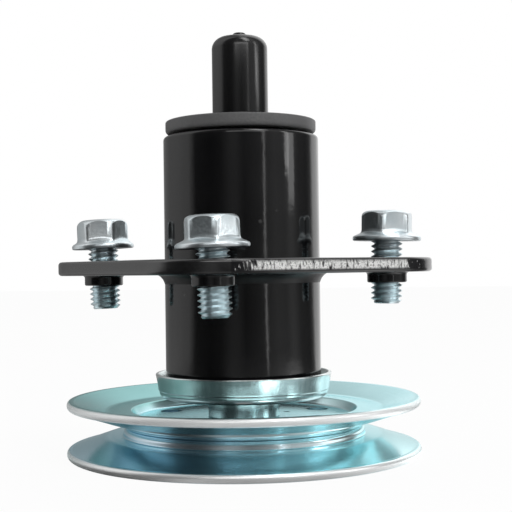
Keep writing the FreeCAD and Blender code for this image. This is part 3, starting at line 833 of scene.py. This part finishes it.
# %% Thread cap
CAP_TOP, CAP_R = extent("thread_cap")[1:]
CAP_WALL, NUB_HEIGHT = 1.45, 1.1
CAP_BORE, CAP_DOME = CAP_R - CAP_WALL, CAP_TOP - NUB_HEIGHT
CAP_ROOF = CAP_DOME - CAP_WALL
CAP_STEPS = 128
make_piece(turn([
    (CAP_BORE, PILOT_TOP, 0), (CAP_R, PILOT_TOP, 0.4), (CAP_R, CAP_DOME - 0.7, 3.7), (2.25, CAP_DOME, 0.4),
    (2.0, CAP_TOP, 0.8), (0, CAP_TOP, 0), (0, CAP_ROOF, 0), (CAP_BORE, CAP_ROOF, 2.2),
], steps=CAP_STEPS), "vinyl_cap", "cap", ["thread_cap"], "black_vinyl", vinyl)

# %% [markdown]
# ## Dust cup and hub
# The cup is drawn from thin sheet. Its wall flares a little to the lip, a crease marks where the
# drawing tool stopped, and its middle is pressed up to bear on the bearing. The hub is a plain
# sleeve below it.

# %% Dust cup
HUB_BOTTOM, HUB_TOP, HUB_R = extent("pulley_hub")
CUP_BOTTOM, CUP_LIP, CUP_R = extent("dust_cup")
CUP_SHEET, SLEEVE_BORE = 1.2, 8.05
CUP_WALL = CUP_R - 0.85
CUP_FOOT = CUP_WALL - 0.3
CUP_FLARE, CUP_FLARE_R = CUP_LIP - 3.4, CUP_WALL + 0.15
CUP_FLOOR, CUP_SEAT = CUP_BOTTOM + CUP_SHEET, HUB_TOP + CUP_SHEET
RAISED_R, RAISED_FOOT_R, RAISED_SHEET = 12.05, 14.05, 0.6
CREASE_LOW, CREASE_HIGH, FLARE_BEND = CUP_BOTTOM + 2.4, CUP_BOTTOM + 2.7, 20.0
make_piece(turn([
    (SLEEVE_BORE, HUB_TOP, 0), (RAISED_R, HUB_TOP, 0.6), (RAISED_FOOT_R, CUP_BOTTOM, 0.6),
    (CUP_FOOT, CUP_BOTTOM, 2.2), (CUP_FOOT, CREASE_LOW, 0.1), (CUP_WALL, CREASE_HIGH, 0.1),
    (CUP_FLARE_R, CUP_FLARE, FLARE_BEND), (CUP_R, CUP_LIP, 0.4), (CUP_R - CUP_SHEET, CUP_LIP, 0.4),
    (CUP_FLARE_R - CUP_SHEET, CUP_FLARE, FLARE_BEND), (CUP_FOOT - CUP_SHEET, CUP_FLOOR, 1.0),
    (RAISED_FOOT_R + RAISED_SHEET, CUP_FLOOR, 0.6), (RAISED_R + RAISED_SHEET, CUP_SEAT, 0.6),
    (SLEEVE_BORE, CUP_SEAT, 0),
], steps=FINE_STEPS), "drawn_cup", "rotor", ["dust_cup"], "zinc", dull_zinc)

# %% Hub sleeve
make_piece(turn([
    (SLEEVE_BORE, HUB_BOTTOM, 0.3), (HUB_R, HUB_BOTTOM, 0.3), (HUB_R, HUB_TOP - 1.0, 0.2),
    (HUB_R - 1.0, HUB_TOP, 0.2), (SLEEVE_BORE, HUB_TOP, 0.3),
]), "hub_sleeve", "rotor", ["pulley_hub"], "zinc", dull_zinc)

# %% [markdown]
# ## Pressed pulley
# Two equal pressings lie back to back. Each has a flat web, a step that forms half of the groove's
# floor, a short shelf, a coned flank, and a narrow rounded lip. The step, flank and lip are spun
# from an open section. The web, which has holes, is filled inside the same circle and given its
# thickness, and the two are merged where they meet.

# %% Pulley sizes
MID, RIM_TOP, RIM_R = extent("pulley_upper_half")
SHEET, LIP = 2.6, 1.6
FLOOR_R, SHELF_R, WEB_R = 37.5, 42.8, 32.0
WEB_TOP, UNDER_LIP, LIP_R = MID + SHEET, RIM_TOP - SHEET, RIM_R - LIP
SHELF_TOP, STEP_R = WEB_TOP + SHEET, FLOOR_R - SHEET
FLANK = math.atan2(UNDER_LIP - WEB_TOP, LIP_R - SHELF_R)
BEND_SHIFT = SHEET * math.tan(FLANK / 2)
DRIVE_HALF = 7.3
WEB_HOLES = ((27.2, 40, 3.5), (27.2, 160, 3.5), (27.2, 280, 3.5), (15.6, 40, 1.0))
BORE_STEPS, WEB_HOLE_STEPS = 64, 40
print("flank slope", round(math.degrees(FLANK), 2), "degrees")


# %% One pressing
def press_half():
    """The upper half, with its web on the pulley's middle plane."""
    half = spin_open([
        (WEB_R, MID, 0), (FLOOR_R, MID, 1.5), (FLOOR_R, WEB_TOP, 0.4), (SHELF_R, WEB_TOP, 6.0),
        (LIP_R, UNDER_LIP, 1.0), (RIM_R, UNDER_LIP, 1.2), (RIM_R, RIM_TOP, 1.2),
        (LIP_R - BEND_SHIFT, RIM_TOP, 1.0), (SHELF_R - BEND_SHIFT, SHELF_TOP, 6.0), (STEP_R, SHELF_TOP, 0.6),
        (STEP_R - SHEET / 2, WEB_TOP, 1.1), (WEB_R, WEB_TOP, 0),
    ], WEB_R, FINE_STEPS)
    web = bmesh.new()
    level = Matrix.Translation((0, 0, MID * MM))
    bmesh.ops.create_circle(web, cap_ends=False, radius=WEB_R * MM, segments=FINE_STEPS, matrix=level)
    bore = bmesh.ops.create_circle(
        web, cap_ends=False, radius=SLEEVE_BORE * MM, segments=BORE_STEPS, matrix=level)
    for vert in bore["verts"]:
        vert.co.y = max(-DRIVE_HALF * MM, min(DRIVE_HALF * MM, vert.co.y))
    for ring_r, angle, hole_r in WEB_HOLES:
        bmesh.ops.create_circle(
            web, cap_ends=False, radius=hole_r * MM, segments=WEB_HOLE_STEPS,
            matrix=Matrix.Translation(around(ring_r, angle, MID)))
    bmesh.ops.triangle_fill(web, use_beauty=True, edges=web.edges[:], normal=(0, 0, 1))
    lift(web, SHEET)
    drop_wall(web, Vector((0, 0, 0)), WEB_R)
    join(half, web)
    close_up(half)
    print("pressed a half with", len(half.faces), "faces")
    return half


# %% Both halves
make_piece(press_half(), "pulley_half_upper", "rotor", ["pulley_upper_half"], "blue_zinc", blue_zinc)
lower = press_half()
flip = Matrix.Translation((0, 0, 2 * MID * MM)) @ Matrix.Scale(-1, 4, (0, 0, 1))
bmesh.ops.transform(lower, matrix=flip, verts=lower.verts)
close_up(lower)
make_piece(lower, "pulley_half_lower", "rotor", ["pulley_lower_half"], "blue_zinc", blue_zinc)

# %% [markdown]
# ## Pulley nut
# A thin hex nut under the pulley clamps the whole stack. Both its faces are chamfered, so the top
# and bottom rings dip at the corners.

# %% Pulley nut
NUT_BOTTOM, NUT_TOP, NUT_CORNER = extent("pulley_nut")
NUT_FLATS, NUT_BORE = NUT_CORNER * math.sqrt(3), 7.2
NUT_FACE, CHAMFER = NUT_FLATS / 2 - 0.3, 0.58
nut = bmesh.new()
bmesh.ops.create_circle(
    nut, cap_ends=False, radius=NUT_BORE * MM, segments=HEX_STEPS,
    matrix=Matrix.Translation((0, 0, NUT_TOP * MM)))
ring = grow_ring(nut, nut.edges[:], lambda d: NUT_FACE, NUT_TOP)
ring = grow_ring(nut, ring, lambda d: hex_reach(d, NUT_FLATS), lambda r: NUT_TOP - (r - NUT_FACE) * CHAMFER)
ring = grow_ring(
    nut, ring, lambda d: hex_reach(d, NUT_FLATS), lambda r: NUT_BOTTOM + (r - NUT_FACE) * CHAMFER)
for reach, level in ((NUT_FACE, NUT_BOTTOM), (NUT_BORE, NUT_BOTTOM), (NUT_BORE, NUT_TOP)):
    ring = grow_ring(nut, ring, lambda d: reach, level)
close_up(nut)
make_piece(nut, "jam_nut", "rotor", ["pulley_nut"], "zinc", bright_zinc, crease=28)

# %% [markdown]
# ## Studio
# The picture is a product shot on white. What the black tube mirrors tells how the room is lit: a
# grey sheet on the left, a bright wall behind on the right, and a dark room in front, where the
# camera is, with large soft light above it. The groove of the pulley mirrors the floor close by in
# the same way. Two rings of brightness, one for the room and one for the floor, set up that light.

# %% Brightness round the room
# Degrees to the right of the camera, and the brightness there.
ROUND_THE_ROOM = (
    (-180, 0.68), (-176, 0.40), (-168, 0.27), (-150, 0.26), (-130, 0.36), (-118, 0.52), (-104, 0.68),
    (-83, 0.76), (-71, 0.08),
    (-45, 0.03), (-30, 0.06), (-16, 0.22), (-8, 0.24), (4, 0.09), (24, 0.2), (32.2, 0.26), (33.8, 3.6),
    (35.4, 0.28), (50, 0.45), (66, 0.4), (75, 0.55), (80, 0.5), (92, 0.22), (112, 0.11), (122, 0.25),
    (131, 1.3), (150, 1.05), (161, 1.2), (168, 0.75), (176, 1.0), (180, 0.68))
ROUND_THE_FLOOR = (
    (-180, 0.5), (-127, 0.3), (-95, 0.6), (-71, 0.16), (-45, 0.03), (-30, 0.07), (-16, 0.34), (0, 0.26),
    (24, 0.33), (45, 0.65), (58, 1.0), (70, 2.0), (82, 1.8), (94, 0.35), (112, 0.25), (135, 0.6),
    (180, 0.5))
BRIGHTEST = 3.6
OVERHEAD, FROM_WALLS = 0.06, 1.25
CEILING_FROM, CEILING_TO = 0.20, 0.45
TO_RIGHT = (math.cos(AZIMUTH), math.sin(AZIMUTH), 0)
TO_FRONT = (math.sin(AZIMUTH), -math.cos(AZIMUTH), 0)


def ring_glow(tree, direction, ring):
    """Colour of a ring of brightness in a direction from the spindle."""
    across = add_node(tree, "ShaderNodeVectorMath", {0: direction, 1: TO_RIGHT}, operation="DOT_PRODUCT")
    ahead = add_node(tree, "ShaderNodeVectorMath", {0: direction, 1: TO_FRONT}, operation="DOT_PRODUCT")
    side = calculate(tree, "ARCTAN2", across.outputs["Value"], ahead.outputs["Value"])
    walls = add_node(tree, "ShaderNodeValToRGB", {"Fac": ramp(tree, side, -math.pi, math.pi)})
    stops = walls.color_ramp.elements
    while len(stops) < len(ring):
        stops.new(0.5)
    for stop, (degrees, strength) in zip(stops, ring):
        stop.position = (degrees + 180) / 360
        grey = strength / BRIGHTEST
        stop.color = (grey, grey, grey, 1)
    return add_node(tree, "ShaderNodeVectorMath", {
        0: walls.outputs["Color"], "Scale": BRIGHTEST}, operation="SCALE").outputs["Vector"]


def room_glow(tree, direction):
    """Colour of the room in a direction, which turns to the ceiling's higher up."""
    low = ring_glow(tree, direction, ROUND_THE_ROOM)
    high = add_node(tree, "ShaderNodeVectorMath", {
        0: low, 1: (FROM_WALLS, FROM_WALLS, FROM_WALLS), 2: (OVERHEAD, OVERHEAD, OVERHEAD)},
        operation="MULTIPLY_ADD").outputs["Vector"]
    height = add_node(tree, "ShaderNodeSeparateXYZ", {"Vector": direction}).outputs["Z"]
    rise = ramp(tree, height, CEILING_FROM, CEILING_TO, interpolation_type="SMOOTHSTEP")
    return blend_colour(tree, rise, low, high)


print("the room has", len(ROUND_THE_ROOM), "stops, the floor", len(ROUND_THE_FLOOR))

# %% White floor
# The camera sees white with a faint shadow, and polished pieces mirror the two rings.
FLOOR_SIZE, FLOOR_GREY, FLOOR_WHITE = 6, 0.85, 0.95
NEAR_FLOOR, FAR_FLOOR = 0.13, 0.22

bpy.ops.mesh.primitive_plane_add(size=FLOOR_SIZE)
floor = bpy.context.object
floor.name = "studio_floor"
floor_paint = bpy.data.materials.new("studio_white")
floor_paint.use_nodes = True
tree = floor_paint.node_tree
tree.nodes.clear()
rays = add_node(tree, "ShaderNodeLightPath").outputs
polished = calculate(tree, "MAXIMUM", rays["Is Glossy Ray"], rays["Is Transmission Ray"])
white = calculate(tree, "MULTIPLY", rays["Is Camera Ray"], FLOOR_WHITE)
share = calculate(tree, "MAXIMUM", polished, white)
spot = add_node(tree, "ShaderNodeTexCoord").outputs["Object"]
away = add_node(tree, "ShaderNodeVectorMath", {0: spot}, operation="LENGTH")
beyond = ramp(tree, away.outputs["Value"], NEAR_FLOOR, FAR_FLOOR)
mirrored = blend_colour(tree, beyond, ring_glow(tree, spot, ROUND_THE_FLOOR), room_glow(tree, spot))
seen = blend_colour(tree, rays["Is Camera Ray"], mirrored, (1, 1, 1))
matte = add_node(tree, "ShaderNodeBsdfDiffuse", {"Color": (FLOOR_GREY, FLOOR_GREY, FLOOR_GREY, 1)})
lit = add_node(tree, "ShaderNodeEmission", {"Color": seen, "Strength": 1.0})
both = add_node(tree, "ShaderNodeMixShader", {
    0: share, 1: matte.outputs["BSDF"], 2: lit.outputs["Emission"]})
add_node(tree, "ShaderNodeOutputMaterial", {"Surface": both.outputs["Shader"]})
floor.data.materials.append(floor_paint)
print("floor", floor.name)

# %% White surround
WHITE = (1, 1, 1, 1)
world = bpy.data.worlds.new("studio")
bpy.context.scene.world = world
world.use_nodes = True
tree = world.node_tree
tree.nodes.clear()
rays = add_node(tree, "ShaderNodeLightPath").outputs
glow = room_glow(tree, add_node(tree, "ShaderNodeTexCoord").outputs["Generated"])
lit = add_node(tree, "ShaderNodeBackground", {"Color": glow, "Strength": 1.0})
shown = add_node(tree, "ShaderNodeBackground", {"Color": WHITE, "Strength": 1.0})
both = add_node(tree, "ShaderNodeMixShader", {
    0: rays["Is Camera Ray"], 1: lit.outputs["Background"], 2: shown.outputs["Background"]})
add_node(tree, "ShaderNodeOutputWorld", {"Surface": both.outputs["Shader"]})
print("surround ready")

# %% Lights
LAMP_AIM = 0.06


def soft_box(name, side, height, reach, width, tall, brightness):
    """A rectangular light, side degrees round to the right of the camera, aimed at the spindle."""
    lamp = bpy.data.lights.new(name, "AREA")
    lamp.shape = "RECTANGLE"
    lamp.size = width
    lamp.size_y = tall
    lamp.energy = brightness * math.pi * width * tall
    box = bpy.data.objects.new(name, lamp)
    bearing = math.radians(-90 + side) + AZIMUTH
    box.location = (reach * math.cos(bearing), reach * math.sin(bearing), height)
    aim_at = Vector((0, 0, LAMP_AIM)) - box.location
    box.rotation_euler = aim_at.to_track_quat("-Z", "Y").to_euler()
    box.visible_camera = False
    bpy.context.scene.collection.objects.link(box)
    print("light", name, "at", [round(c, 2) for c in box.location], round(lamp.energy, 2), "W")


soft_box("strip_right", 77, 0.24, 0.75, 0.15, 0.18, 2.0)
soft_box("strip_high", 70, 0.40, 0.75, 0.10, 0.40, 3.2)
soft_box("front", 8, 0.52, 0.80, 0.90, 0.22, 2.6)
soft_box("overhead", 40, 0.95, 0.44, 0.28, 0.55, 4.6)
bpy.context.scene.view_settings.view_transform = "Standard"
